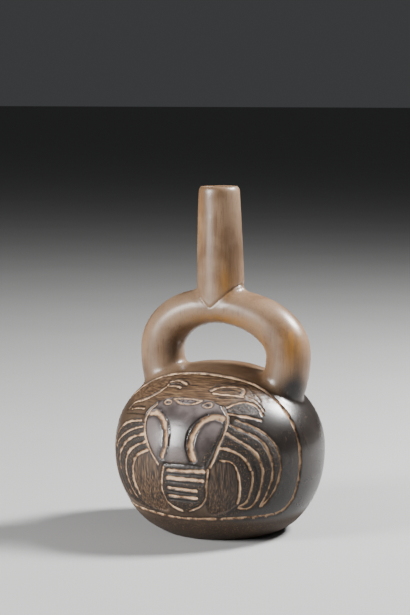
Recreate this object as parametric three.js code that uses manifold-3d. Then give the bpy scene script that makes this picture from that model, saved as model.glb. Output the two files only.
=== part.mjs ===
// Stirrup spout vessel: a round hollow body, a hoop of hollow tube over it and a tapering spout,
// with a carved figure on the front of the body. Millimetres, +Z up, the front faces -Y.
import * as THREE from 'three';
import Module from 'manifold-3d';

const wasm = await Module();
wasm.setup();

// ---------------------------------------------------------------- body
const BODY_HEIGHT = 118;          // resting plane to the crown between the stirrup's feet
const WAIST_HEIGHT = 59;          // height of the widest girth
const HALF_WIDTH = 74.3;          // girth, along X
const FRONT_DEPTH = 70.3;         // girth, towards the front
const BACK_DEPTH = 71;            // girth, towards the back
const FOOT_RADIUS = 44;           // edge of the flat underside
const FOOT_ROUND = 3;             // rounding above that edge
const CROWN_POWER = 2.05;         // fullness of the upper profile
const BELLY_POWER = 2.2;          // fullness of the lower profile
const FOOT_SHIFT = 1;             // the foot sits a little off the girth's centre, in X and Y
const BODY_SIDES = 52;
const BODY_RINGS = 20;

// ---------------------------------------------------------------- stirrup and spout
const HOOP_REACH_LEFT = 43.8;     // centre line, from the middle to each leg
const HOOP_REACH_RIGHT = 52;
const HOOP_SPRING = 125;          // height where the legs stand upright
const HOOP_RISE = 31.8;           // crown of the centre line above that height
const HOOP_DROP = 60;             // how far the legs' arc would run below it
const HOOP_FOOT_ANGLE = 45;       // degrees of arc that run down into the body
const LEG_RADIUS = 15.6;          // tube, at the legs
const CROWN_RADIUS = 12.4;        // tube, at the crown, in the plane of the hoop
const TUBE_DEPTH = 15.6;          // tube, half its size from front to back
const HOOP_SIDES = 20;
const HOOP_STEPS = 28;
const SPOUT_TOP = 240;
const SPOUT_ROOT_RADIUS = 17;
const SPOUT_ROOT_DEPTH = 15.5;    // at the root the spout is as deep as the tube it stands on
const SPOUT_LIP_RADIUS = 14.2;
const SPOUT_TAPER_POWER = 1.8;
const SPOUT_ROOT_X = 1.2;         // the spout leans slightly to the left
const SPOUT_LIP_X = -0.3;
const LIP_ROUND = 2.6;
const SPOUT_SIDES = 24;

// ---------------------------------------------------------------- walls
const BODY_WALL = 6;
const FLOOR_WALL = 8;
const CROWN_WALL = 6;
const TUBE_WALL = 5;
const BORE_ROOT_RADIUS = 11.2;
const BORE_LIP_RADIUS = 9.6;
const INNER_SIDES = 24;
const INNER_RINGS = 9;
const CHANNEL_SIDES = 12;
const CHANNEL_STEPS = 18;
const BORE_SIDES = 16;

// ---------------------------------------------------------------- carving
const LINE_WIDTH = 1.7;
const LINE_DEPTH = 1.1;
const FINE_WIDTH = 1.3;
const FINE_DEPTH = 0.8;
const LEG_WIDTH = 1.8;
const LEG_DEPTH = 1.2;
const STRIPE_WIDTH = 3;
const LEAF_WIDTH = 4.4;
const LEAF_DEPTH = 1.7;
const CUTTER_LIFT = 0.5;          // how far a cutter stands proud of the surface
const CUTTER_END = 0.3;           // share of its size that an open cutter keeps at each end
const LEG_ARC_STEPS = 4;          // knots along each of a leg's two arcs
const LEG_TIP_TURN = 78;          // degrees of the lower arc before the leg's tip
const BORDER_PLANE = 22;          // the panel's edge lies this far in front of the girth's centre
const BORDER_TOP_PLANE = 28.2;
const BORDER_TOP = 113.4;
const BORDER_BEND = 100;          // above this height the edge swings forward
const BORDER_FOOT = 18.2;
const BORDER_CORNER = 32;         // below this height the edge turns in over the foot
const BORDER_STEPS = 40;
const BORDER_WIDTH = 2;
const EDGE_ON = 0.995;            // front-view places stop this close to the outline

const CLAY = new THREE.MeshStandardMaterial({ color: 0x8a745c, roughness: 0.55, metalness: 0 });

// The round part of a profile: 1 at t = 0, falling to 0 at t = 1.
function bulge(t, power) {
  return Math.pow(Math.max(0, 1 - Math.pow(Math.min(1, Math.abs(t)), power)), 1 / power);
}

// Girth of the body at a height, as a share of its widest girth.
function girthAt(z) {
  if (z >= WAIST_HEIGHT) {
    return bulge((z - WAIST_HEIGHT) / (BODY_HEIGHT - WAIST_HEIGHT), CROWN_POWER);
  }
  const footShare = FOOT_RADIUS / HALF_WIDTH;
  const reach = Math.pow(1 - Math.pow(footShare, BELLY_POWER), 1 / BELLY_POWER);
  return bulge(reach * (WAIST_HEIGHT - z) / WAIST_HEIGHT, BELLY_POWER);
}

function footShiftAt(z) {
  return FOOT_SHIFT * Math.pow(Math.max(0, 1 - z / WAIST_HEIGHT), 2);
}

// Point on the front of the body at front-view place (x, z).
function frontPoint(x, z) {
  const girth = girthAt(z);
  const shift = footShiftAt(z);
  const across = Math.min(EDGE_ON, Math.abs((x - shift) / (HALF_WIDTH * girth)));
  return new THREE.Vector3(x, shift - FRONT_DEPTH * girth * Math.sqrt(1 - across * across), z);
}

function frontNormal(x, z) {
  const step = 0.2;
  const alongX = frontPoint(x + step, z).sub(frontPoint(x - step, z));
  const alongZ = frontPoint(x, z + step).sub(frontPoint(x, z - step));
  return alongX.cross(alongZ).normalize();
}

// A closed skin over rings of points; the first and last rings are closed by fans.
function skin(rings) {
  const positions = [];
  const faces = [];
  const sides = rings[0].length;
  rings.forEach((ring) => ring.forEach((p) => positions.push(p.x, p.y, p.z)));
  for (let i = 0; i + 1 < rings.length; i += 1) {
    for (let j = 0; j < sides; j += 1) {
      const a = i * sides + j;
      const b = i * sides + ((j + 1) % sides);
      faces.push(a, b, b + sides, a, b + sides, a + sides);
    }
  }
  for (let j = 1; j + 1 < sides; j += 1) {
    const last = (rings.length - 1) * sides;
    faces.push(0, j + 1, j);
    faces.push(last, last + j, last + j + 1);
  }
  const mesh = new wasm.Mesh({
    numProp: 3,
    vertProperties: new Float32Array(positions),
    triVerts: new Uint32Array(faces),
  });
  return new wasm.Manifold(mesh);
}

function ellipseRing(centreX, centreY, z, radiusX, radiusFront, radiusBack, sides) {
  return Array.from({ length: sides }, (_, j) => {
    const turn = (2 * Math.PI * j) / sides;
    const depth = Math.sin(turn) < 0 ? radiusFront : radiusBack;
    return new THREE.Vector3(
      centreX + radiusX * Math.cos(turn), centreY + depth * Math.sin(turn), z);
  });
}

// Outer body, ring by ring; rings are closer together where the profile turns.
function outerBody() {
  const rings = [];
  const sole = FOOT_RADIUS - FOOT_ROUND;
  rings.push(ellipseRing(FOOT_SHIFT, FOOT_SHIFT, 0, sole, sole, sole, BODY_SIDES));
  for (let i = 1; i < BODY_RINGS; i += 1) {
    const turn = (Math.PI * i) / BODY_RINGS;
    const z = 0.5 * BODY_HEIGHT * (1 - Math.cos(turn));
    const girth = girthAt(z);
    const round = FOOT_ROUND * Math.pow(Math.max(0, 1 - z / (3 * FOOT_ROUND)), 2);
    const shift = footShiftAt(z);
    rings.push(ellipseRing(shift, shift, z, HALF_WIDTH * girth - round,
      FRONT_DEPTH * girth - round, BACK_DEPTH * girth - round, BODY_SIDES));
  }
  const cap = 0.02;
  rings.push(ellipseRing(0, 0, BODY_HEIGHT, cap, cap, cap, BODY_SIDES));
  return skin(rings);
}

// The empty chamber inside the body.
function chamber() {
  const rings = [];
  const low = FLOOR_WALL;
  const high = BODY_HEIGHT - CROWN_WALL;
  const cap = 0.05;
  for (let i = 0; i <= INNER_RINGS; i += 1) {
    const share = 0.5 * (1 - Math.cos((Math.PI * i) / INNER_RINGS));
    const z = low + (high - low) * share;
    const outerZ = BODY_HEIGHT * share;
    const scale = Math.max(cap / HALF_WIDTH, girthAt(outerZ) - BODY_WALL / HALF_WIDTH);
    rings.push(ellipseRing(0, 0, z, HALF_WIDTH * scale, FRONT_DEPTH * scale,
      BACK_DEPTH * scale, INNER_SIDES));
  }
  return skin(rings);
}

// A tube along the hoop's centre line, its wall drawn in by `inset`.
function hoopTube(inset, sides, steps) {
  const rings = [];
  const start = -HOOP_FOOT_ANGLE;
  const sweep = 180 + 2 * HOOP_FOOT_ANGLE;
  for (let i = 0; i <= steps; i += 1) {
    const turn = THREE.MathUtils.degToRad(start + (sweep * i) / steps);
    const reach = Math.cos(turn) > 0 ? HOOP_REACH_LEFT : HOOP_REACH_RIGHT;
    const rise = Math.sin(turn) > 0 ? HOOP_RISE : HOOP_DROP;
    const centre = new THREE.Vector3(
      -reach * Math.cos(turn), 0, HOOP_SPRING + rise * Math.sin(turn));
    const ahead = new THREE.Vector3(reach * Math.sin(turn), 0, rise * Math.cos(turn)).normalize();
    const outward = new THREE.Vector3(-ahead.z, 0, ahead.x);
    const height = Math.max(0, Math.sin(turn));
    const inPlane = LEG_RADIUS + (CROWN_RADIUS - LEG_RADIUS) * Math.pow(height, 3) - inset;
    const depth = TUBE_DEPTH - inset;
    rings.push(Array.from({ length: sides }, (_, j) => {
      const around = (2 * Math.PI * (j + 0.5)) / sides;
      const point = centre.clone().addScaledVector(outward, inPlane * Math.cos(around));
      point.y -= depth * Math.sin(around);
      return point;
    }));
  }
  return skin(rings);
}

function spoutSizeAt(share, rootSize) {
  return rootSize + (SPOUT_LIP_RADIUS - rootSize) * Math.pow(share, SPOUT_TAPER_POWER);
}

function spoutRing(z, halfX, halfY, sides) {
  const root = HOOP_SPRING + HOOP_RISE;
  const share = (z - root) / (SPOUT_TOP - root);
  const centreX = SPOUT_ROOT_X + (SPOUT_LIP_X - SPOUT_ROOT_X) * share;
  return ellipseRing(centreX, 0, z, halfX, halfY, halfY, sides);
}

// Outer spout with a rounded lip.
function spoutBody() {
  const root = HOOP_SPRING + HOOP_RISE;
  const rings = [];
  const steps = 5;
  const lipSteps = 3;
  const straightTop = SPOUT_TOP - LIP_ROUND;
  for (let i = 0; i <= steps; i += 1) {
    const z = root + ((straightTop - root) * i) / steps;
    const share = (z - root) / (SPOUT_TOP - root);
    const halfX = spoutSizeAt(share, SPOUT_ROOT_RADIUS);
    rings.push(spoutRing(z, halfX, spoutSizeAt(share, SPOUT_ROOT_DEPTH), SPOUT_SIDES));
  }
  for (let i = 1; i <= lipSteps; i += 1) {
    const turn = (Math.PI / 2) * (i / lipSteps);
    const z = straightTop + LIP_ROUND * Math.sin(turn);
    const radius = SPOUT_LIP_RADIUS - LIP_ROUND * (1 - Math.cos(turn));
    rings.push(spoutRing(z, radius, radius, SPOUT_SIDES));
  }
  return skin(rings);
}

function spoutBore() {
  const root = HOOP_SPRING + HOOP_RISE;
  const flare = 1.6;
  const levels = [
    [root, BORE_ROOT_RADIUS],
    [SPOUT_TOP - 2 * LIP_ROUND, BORE_LIP_RADIUS],
    [SPOUT_TOP - 0.4 * LIP_ROUND, BORE_LIP_RADIUS + 0.6 * flare],
    [SPOUT_TOP + LIP_ROUND, BORE_LIP_RADIUS + flare],
  ];
  return skin(levels.map(([z, radius]) => spoutRing(z, radius, radius, BORE_SIDES)));
}

// Evenly spaced front-view places along a smooth line through a few knots.
function smoothLine(knots, spacing) {
  const curve = new THREE.SplineCurve(knots.map(([x, z]) => new THREE.Vector2(x, z)));
  const steps = Math.max(2, Math.round(curve.getLength() / spacing));
  return curve.getSpacedPoints(steps).map((p) => [p.x, p.y]);
}

// A V-shaped cutter that follows a front-view line over the body; open ends taper out.
function groove(places, width, depth, closed = false) {
  const count = places.length;
  const rings = places.map(([x, z], i) => {
    const before = places[closed ? (i + count - 1) % count : Math.max(0, i - 1)];
    const after = places[closed ? (i + 1) % count : Math.min(count - 1, i + 1)];
    const ahead = frontPoint(...after).sub(frontPoint(...before)).normalize();
    const normal = frontNormal(x, z);
    const across = ahead.clone().cross(normal).normalize();
    const isEnd = !closed && (i === 0 || i === count - 1);
    const size = isEnd ? CUTTER_END : 1;
    const half = 0.5 * width * size * (1 + CUTTER_LIFT / depth);
    const on = frontPoint(x, z);
    const top = on.clone().addScaledVector(normal, CUTTER_LIFT);
    return [
      top.clone().addScaledVector(across, half),
      on.clone().addScaledVector(normal, -depth * size),
      top.clone().addScaledVector(across, -half),
    ];
  });
  if (!closed) {
    return skin(rings);
  }
  return ringedSkin(rings);
}

// A skin over rings that come back round to the first one.
function ringedSkin(rings) {
  const positions = [];
  const faces = [];
  const sides = rings[0].length;
  rings.forEach((ring) => ring.forEach((p) => positions.push(p.x, p.y, p.z)));
  for (let i = 0; i < rings.length; i += 1) {
    const next = (i + 1) % rings.length;
    for (let j = 0; j < sides; j += 1) {
      const k = (j + 1) % sides;
      faces.push(i * sides + j, i * sides + k, next * sides + k);
      faces.push(i * sides + j, next * sides + k, next * sides + j);
    }
  }
  const mesh = new wasm.Mesh({
    numProp: 3,
    vertProperties: new Float32Array(positions),
    triVerts: new Uint32Array(faces),
  });
  return new wasm.Manifold(mesh);
}

// The line round the carved panel: down each side on an upright plane, then along above the foot.
function borderPlaces() {
  const half = [];
  for (let i = 0; i <= BORDER_STEPS; i += 1) {
    const fall = 0.5 * (1 - Math.cos((Math.PI * i) / BORDER_STEPS));
    const z = BORDER_TOP - (BORDER_TOP - BORDER_CORNER) * fall;
    const bend = Math.pow(Math.max(0, (z - BORDER_BEND) / (BORDER_TOP - BORDER_BEND)), 3);
    const plane = BORDER_PLANE + (BORDER_TOP_PLANE - BORDER_PLANE) * bend;
    const along = Math.min(1, plane / (FRONT_DEPTH * girthAt(z)));
    half.push([HALF_WIDTH * girthAt(z) * Math.sqrt(1 - along * along), z]);
  }
  const cornerX = half[BORDER_STEPS][0];
  half.push([cornerX - 3.2, BORDER_FOOT + 8.2]);
  half.push([cornerX - 7.6, BORDER_FOOT + 3.8]);
  half.push([cornerX - 14, BORDER_FOOT + 2.2]);
  half.push([cornerX - 34, BORDER_FOOT + 1.4]);
  half.push([0, BORDER_FOOT]);
  const mirrored = half.slice(1, -1).reverse().map(([x, z]) => [-x, z]);
  const loop = smoothLine([...half, ...mirrored, half[0]], 6.6);
  loop.pop();
  return loop;
}

// One leg's line: out from the shield, round at the belly and down to its tip.
function legPlaces(side, [startX, startZ], [bellyX, bellyZ], [tipX, tipZ]) {
  const knots = [];
  for (let i = 0; i <= LEG_ARC_STEPS; i += 1) {
    const turn = THREE.MathUtils.degToRad((90 * i) / LEG_ARC_STEPS);
    knots.push([side * (startX + (bellyX - startX) * Math.sin(turn)),
      bellyZ + (startZ - bellyZ) * Math.cos(turn)]);
  }
  for (let i = 1; i <= LEG_ARC_STEPS; i += 1) {
    const turn = THREE.MathUtils.degToRad((LEG_TIP_TURN * i) / LEG_ARC_STEPS);
    knots.push([side * (tipX + (bellyX - tipX) * Math.cos(turn)),
      bellyZ - (bellyZ - tipZ) * Math.sin(turn)]);
  }
  return smoothLine(knots, 8.5);
}

const RIGHT_LEGS = [
  [[31, 88], [62.6, 55], [48, 24]],
  [[31.5, 83.5], [59.2, 52], [46, 24]],
  [[31, 78.5], [54, 51], [40, 25]],
  [[28, 69.5], [48.6, 50], [40, 27]],
  [[25, 61.5], [41.3, 46], [36, 24]],
];
const LEFT_LEGS = [
  [[30.5, 83.5], [64.5, 52], [48, 24]],
  [[29.5, 79], [61.3, 50], [44, 24]],
  [[28.5, 74], [55.3, 47], [40, 24]],
  [[27, 69], [47.2, 47], [36, 25]],
  [[24, 63], [39.3, 44], [32, 24]],
];

// The rounded recess beside the shield and the thin line round its outer edge.
function leaf(side, edge) {
  const middle = 0.5;
  const at = (x, z) => [middle + side * x, z];
  const trough = smoothLine(
    [at(26.6, 88.2), at(21, 89.4), at(14, 86), at(9.8, 78), at(9.2, 70), at(11.6, 61.6)], 5);
  return [
    groove(trough, LEAF_WIDTH, LEAF_DEPTH),
    groove(smoothLine(edge, 6), LINE_WIDTH, LINE_DEPTH),
  ];
}

const RIGHT_LEAF_EDGE = [[25.2, 95.4], [30.6, 89], [31.2, 82], [29, 72.4], [26.6, 64], [23.4, 56]];
const LEFT_LEAF_EDGE = [[-22.7, 94.6], [-28.6, 88], [-29.2, 81], [-26.8, 73], [-21.7, 64.5], [-14.6, 56]];

// Each cross stripe of the abdomen: from x, to x, height, and how much the right end falls.
const STRIPES = [
  [-6.6, 18.6, 53, 0.2],
  [-6.6, 18, 47.8, -0.4],
  [-6.8, 13, 40.6, -1.2],
  [-7.2, 13, 34.6, -0.4],
];

// The abdomen below the shield: its outline and the stripes.
function abdomen() {
  const left = smoothLine([[-10, 54.5], [-12.2, 43], [-11.8, 34.4], [-7.4, 27.8], [1, 23.8]], 5);
  const right = smoothLine([[22, 54.5], [20.6, 43], [19.2, 34.4], [14, 28], [6, 24.2]], 5);
  const cuts = [groove(left, LINE_WIDTH, LINE_DEPTH), groove(right, LINE_WIDTH, LINE_DEPTH)];
  STRIPES.forEach(([from, to, z, fall]) => {
    const line = smoothLine([[from, z], [0.5 * (from + to), z + 0.4 * fall], [to, z + fall]], 6);
    cuts.push(groove(line, STRIPE_WIDTH, LINE_DEPTH));
  });
  return cuts;
}

// A closed oval line.
function ovalPlaces(x, z, halfX, halfZ, sides) {
  return Array.from({ length: sides }, (_, j) => {
    const turn = (2 * Math.PI * j) / sides;
    return [x + halfX * Math.cos(turn), z + halfZ * Math.sin(turn)];
  });
}

// Mouth, ring eyes, and the large eyes, brows and ears above the shield.
function face() {
  const line = (knots, width, depth) => groove(smoothLine(knots, 5), width, depth);
  const ring = (x, z) => groove(ovalPlaces(x, z, 2.8, 1.3, 8), FINE_WIDTH, FINE_DEPTH, true);
  const cuts = [
    line([[-9.6, 98.4], [-5, 96.6], [0.8, 96], [6, 96.6], [10.4, 98.4]], LINE_WIDTH, FINE_DEPTH),
    line([[-9.6, 98.4], [0.4, 98.7], [10.4, 98.4]], FINE_WIDTH, FINE_DEPTH),
    ring(15.8, 96.4),
    ring(-13.8, 96.3),
  ];
  const middle = 1.5;
  [-1, 1].forEach((side) => {
    const at = (x, z) => [middle + side * x, z];
    const eye = [at(12.4, 105), at(18.6, 107), at(26, 106.8), at(31.4, 105.2), at(32.6, 102.6)];
    const pupil = [at(21, 104.3), at(26, 104.6), at(30.6, 103.6)];
    const earTop = [at(27, 95), at(33.4, 98.2), at(39, 98.4), at(44.6, 94.8), at(48.2, 89.6)];
    const earFoot = [at(29, 91), at(38.4, 90.2), at(46.6, 89.4)];
    cuts.push(line(eye, LINE_WIDTH, LINE_DEPTH), line(pupil, LINE_WIDTH, FINE_DEPTH));
    cuts.push(line(earTop, LINE_WIDTH, LINE_DEPTH), line(earFoot, FINE_WIDTH, FINE_DEPTH));
  });
  return cuts;
}

function carving() {
  const cuts = [groove(borderPlaces(), BORDER_WIDTH, LINE_DEPTH, true)];
  RIGHT_LEGS.forEach((leg) => cuts.push(groove(legPlaces(1, ...leg), LEG_WIDTH, LEG_DEPTH)));
  LEFT_LEGS.forEach((leg) => cuts.push(groove(legPlaces(-1, ...leg), LEG_WIDTH, LEG_DEPTH)));
  cuts.push(...leaf(1, RIGHT_LEAF_EDGE), ...leaf(-1, LEFT_LEAF_EDGE), ...abdomen(), ...face());
  return cuts.reduce((sum, cut) => sum.add(cut));
}

function toThree(solid, name) {
  const mesh = solid.getMesh();
  const geometry = new THREE.BufferGeometry();
  geometry.setAttribute('position', new THREE.BufferAttribute(mesh.vertProperties, 3));
  geometry.setIndex(new THREE.BufferAttribute(mesh.triVerts, 1));
  geometry.computeVertexNormals();
  const node = new THREE.Mesh(geometry, CLAY);
  node.name = name;
  return node;
}

const outside = outerBody().add(hoopTube(0, HOOP_SIDES, HOOP_STEPS)).add(spoutBody());
const inside = chamber().add(hoopTube(TUBE_WALL, CHANNEL_SIDES, CHANNEL_STEPS)).add(spoutBore());
const vessel = outside.subtract(carving()).subtract(inside);

const group = new THREE.Group();
group.name = 'stirrup_spout_vessel';
group.add(toThree(vessel, 'vessel'));

export default group;
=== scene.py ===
"""Looks of a stirrup spout vessel: one hollow bottle of burnished clay, carved on its front."""

import logging
import math
from dataclasses import dataclass, field
from enum import Enum

import bmesh
import bpy
import numpy as np
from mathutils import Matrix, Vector


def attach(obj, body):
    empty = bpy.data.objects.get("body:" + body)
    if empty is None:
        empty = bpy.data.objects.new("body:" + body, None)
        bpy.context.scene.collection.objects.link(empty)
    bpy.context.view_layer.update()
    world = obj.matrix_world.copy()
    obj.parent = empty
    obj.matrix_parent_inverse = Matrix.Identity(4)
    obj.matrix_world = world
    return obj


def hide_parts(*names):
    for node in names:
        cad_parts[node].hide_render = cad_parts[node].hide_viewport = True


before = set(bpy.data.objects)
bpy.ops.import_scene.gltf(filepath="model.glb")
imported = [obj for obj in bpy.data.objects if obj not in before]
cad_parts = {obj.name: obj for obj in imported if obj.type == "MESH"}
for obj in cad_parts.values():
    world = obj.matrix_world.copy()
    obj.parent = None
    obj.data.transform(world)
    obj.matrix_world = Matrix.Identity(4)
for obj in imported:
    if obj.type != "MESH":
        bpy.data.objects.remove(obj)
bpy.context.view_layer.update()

LOG = logging.getLogger("vessel")
MM = 0.001
SEED = 7

Knots = tuple[tuple[float, float], ...]
Masks = dict[str, np.ndarray]
Color = tuple[float, float, float, float]


# ------------------------------------------------------------------ modelling helpers


def deselect_all() -> None:
    """Leaves no object selected and no mode but object mode."""
    if bpy.context.object and bpy.context.object.mode != "OBJECT":
        bpy.ops.object.mode_set(mode="OBJECT")
    bpy.ops.object.select_all(action="DESELECT")


def make_active(piece: bpy.types.Object) -> None:
    """Selects one piece alone and makes it active.

    Args:
        piece: The object the next operators act on.
    """
    deselect_all()
    piece.select_set(True)
    bpy.context.view_layer.objects.active = piece


def apply_modifier(piece: bpy.types.Object, kind: str, **settings: object) -> None:
    """Adds a modifier to a piece and applies it.

    Args:
        piece: The object to finish.
        kind: The modifier's type name.
        **settings: Values for the modifier's properties.
    """
    make_active(piece)
    modifier = piece.modifiers.new(kind.lower(), kind)
    for key, value in settings.items():
        setattr(modifier, key, value)
    bpy.ops.object.modifier_apply(modifier=modifier.name)


def join_forms(base: bpy.types.Object, other: bpy.types.Object, operation: str) -> None:
    """Joins or cuts one closed form with another and removes the second.

    Args:
        base: The form that stays.
        other: The form that is used up.
        operation: UNION or DIFFERENCE.
    """
    apply_modifier(base, "BOOLEAN", operation=operation, object=other, solver="EXACT")
    bpy.data.objects.remove(other, do_unlink=True)


@dataclass(frozen=True)
class Ring:
    """One oval section of a form, in millimetres.

    Args:
        centre: Its middle.
        half_wide: Half its size along its own first axis.
        half_deep: Half its size along Y.
        lean: Turn of the section about Y, in radians; 0 lies flat.
    """

    centre: tuple[float, float, float]
    half_wide: float
    half_deep: float
    lean: float = 0.0


def select_last(piece: bpy.types.Object, count: int) -> None:
    """Selects only the newest vertices and the edges between them, in edit mode.

    Args:
        piece: The object in edit mode.
        count: How many of its last vertices are selected.
    """
    mesh = bmesh.from_edit_mesh(piece.data)
    mesh.verts.ensure_lookup_table()
    first = len(mesh.verts) - count
    for vert in mesh.verts:
        vert.select = vert.index >= first
    for edge in mesh.edges:
        edge.select = all(v.select for v in edge.verts)
    bmesh.update_edit_mesh(piece.data)


def loft(name: str, rings: list[Ring], sides: int) -> bpy.types.Object:
    """Builds a closed form through oval sections.

    Args:
        name: Name of the new object.
        rings: The sections in order, from one end to the other.
        sides: Vertices round each section.

    Returns:
        The new object, with its place in its mesh.
    """
    deselect_all()
    for index, ring in enumerate(rings):
        centre = [c * MM for c in ring.centre]
        is_end = index in (0, len(rings) - 1)
        if index:
            bpy.ops.mesh.select_all(action="DESELECT")
        bpy.ops.mesh.primitive_circle_add(
            vertices=sides, radius=MM, fill_type="NGON" if is_end else "NOTHING", location=centre
        )
        if not index:
            piece = bpy.context.object
            piece.name = name
            bpy.ops.object.transform_apply(location=True)
            bpy.ops.object.mode_set(mode="EDIT")
            bpy.ops.mesh.select_mode(type="VERT")
            bpy.ops.mesh.select_all(action="SELECT")
        bpy.ops.transform.resize(
            value=(ring.half_wide, ring.half_deep, 1.0), center_override=centre
        )
        if ring.lean:
            bpy.ops.transform.rotate(
                value=-ring.lean, orient_axis="Y", center_override=centre
            )
        if index:
            select_last(piece, 2 * sides)
            bpy.ops.mesh.bridge_edge_loops()
    bpy.ops.mesh.select_all(action="SELECT")
    bpy.ops.mesh.remove_doubles(threshold=0.001 * MM)
    bpy.ops.mesh.normals_make_consistent(inside=False)
    bpy.ops.object.mode_set(mode="OBJECT")
    return piece


# ------------------------------------------------------------------ the clay forms, in millimetres


def bulge(share: np.ndarray, power: float) -> np.ndarray:
    """Rounded profile that is 1 at share 0 and falls to 0 at share 1.

    Args:
        share: How far along the profile.
        power: Its fullness; 2 is an ellipse.

    Returns:
        The girth at each share.
    """
    return np.clip(1 - np.clip(np.abs(share), 0, 1) ** power, 0, 1) ** (1 / power)


@dataclass
class Body:
    """The round body: a full belly on a small flat foot."""

    height: float = 118.0
    waist: float = 59.0
    half_wide: float = 74.3
    front: float = 70.3
    back: float = 71.0
    foot_radius: float = 44.0
    foot_round: float = 3.0
    foot_shift: float = 1.0
    crown_power: float = 2.05
    belly_power: float = 2.2
    sides: int = 96
    rings: int = 60

    def girth(self, z: np.ndarray) -> np.ndarray:
        """Girth at a height, as a share of the widest.

        Args:
            z: Heights.

        Returns:
            Shares from 0 to 1.
        """
        z = np.asarray(z, dtype=float)
        above = bulge((z - self.waist) / (self.height - self.waist), self.crown_power)
        foot = self.foot_radius / self.half_wide
        reach = (1 - foot**self.belly_power) ** (1 / self.belly_power)
        below = bulge(reach * (self.waist - z) / self.waist, self.belly_power)
        return np.where(z >= self.waist, above, below)

    def shift(self, z: np.ndarray) -> np.ndarray:
        """How far the foot's sections stand off the middle, in X and in Y."""
        return self.foot_shift * np.clip(1 - np.asarray(z) / self.waist, 0, 1) ** 2

    def front_points(self, places: np.ndarray) -> np.ndarray:
        """Lays front-view places on the front of the body.

        Args:
            places: Rows of x and z.

        Returns:
            Rows of x, y and z on the surface.
        """
        x, z = places[:, 0], places[:, 1]
        girth, shift = self.girth(z), self.shift(z)
        across = np.clip(np.abs((x - shift) / (self.half_wide * girth)), 0, 0.999)
        y = shift - self.front * girth * np.sqrt(1 - across**2)
        return np.stack([x, y, z], axis=1)

    def sections(self) -> list[Ring]:
        """Works out the sections, closer together where the profile turns.

        Returns:
            The sections from the sole to the crown.
        """
        middle_y = 0.5 * (self.back - self.front)
        deep = 0.5 * (self.back + self.front)
        sole = self.foot_radius - self.foot_round
        rings = [Ring((self.foot_shift, self.foot_shift, 0.0), sole, sole)]
        for step in range(1, self.rings):
            z = 0.5 * self.height * (1 - math.cos(math.pi * step / self.rings))
            girth, shift = float(self.girth(z)), float(self.shift(z))
            turn = self.foot_round * max(0.0, 1 - z / (3 * self.foot_round)) ** 2
            centre = (shift, shift + middle_y * girth, z)
            rings.append(Ring(centre, self.half_wide * girth - turn, deep * girth - turn))
        rings.append(Ring((0.0, 0.0, self.height), 0.4, 0.4))
        return rings

    def build(self) -> bpy.types.Object:
        """Models the solid outer body."""
        return loft("vessel_clay", self.sections(), self.sides)


@dataclass
class Stirrup:
    """The hoop of tube over the body, its left arm closer in than its right."""

    reach_left: float = 43.8
    reach_right: float = 52.0
    spring: float = 125.0
    rise: float = 31.8
    drop: float = 60.0
    foot_angle: float = 45.0
    leg_radius: float = 15.6
    crown_radius: float = 12.4
    depth: float = 15.6
    sides: int = 40
    steps: int = 64

    @property
    def crown(self) -> float:
        """Height of the centre line's crown."""
        return self.spring + self.rise

    def build(self, inset: float = 0.0, sides: int = 0, steps: int = 0) -> bpy.types.Object:
        """Models the tube, or the channel inside it.

        Args:
            inset: How far the surface lies inside the outer one.
            sides: Vertices round the tube; 0 takes the outer tube's.
            steps: Sections along it; 0 takes the outer tube's.

        Returns:
            The closed tube.
        """
        rings = []
        count = steps or self.steps
        for step in range(count + 1):
            turn = math.radians(-self.foot_angle + (180 + 2 * self.foot_angle) * step / count)
            reach = self.reach_left if math.cos(turn) > 0 else self.reach_right
            rise = self.rise if math.sin(turn) > 0 else self.drop
            centre = (-reach * math.cos(turn), 0.0, self.spring + rise * math.sin(turn))
            lean = math.atan2(reach * math.sin(turn), rise * math.cos(turn))
            height = max(0.0, math.sin(turn)) ** 3
            wide = self.leg_radius + (self.crown_radius - self.leg_radius) * height
            rings.append(Ring(centre, wide - inset, self.depth - inset, lean))
        return loft("stirrup", rings, sides or self.sides)


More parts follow.
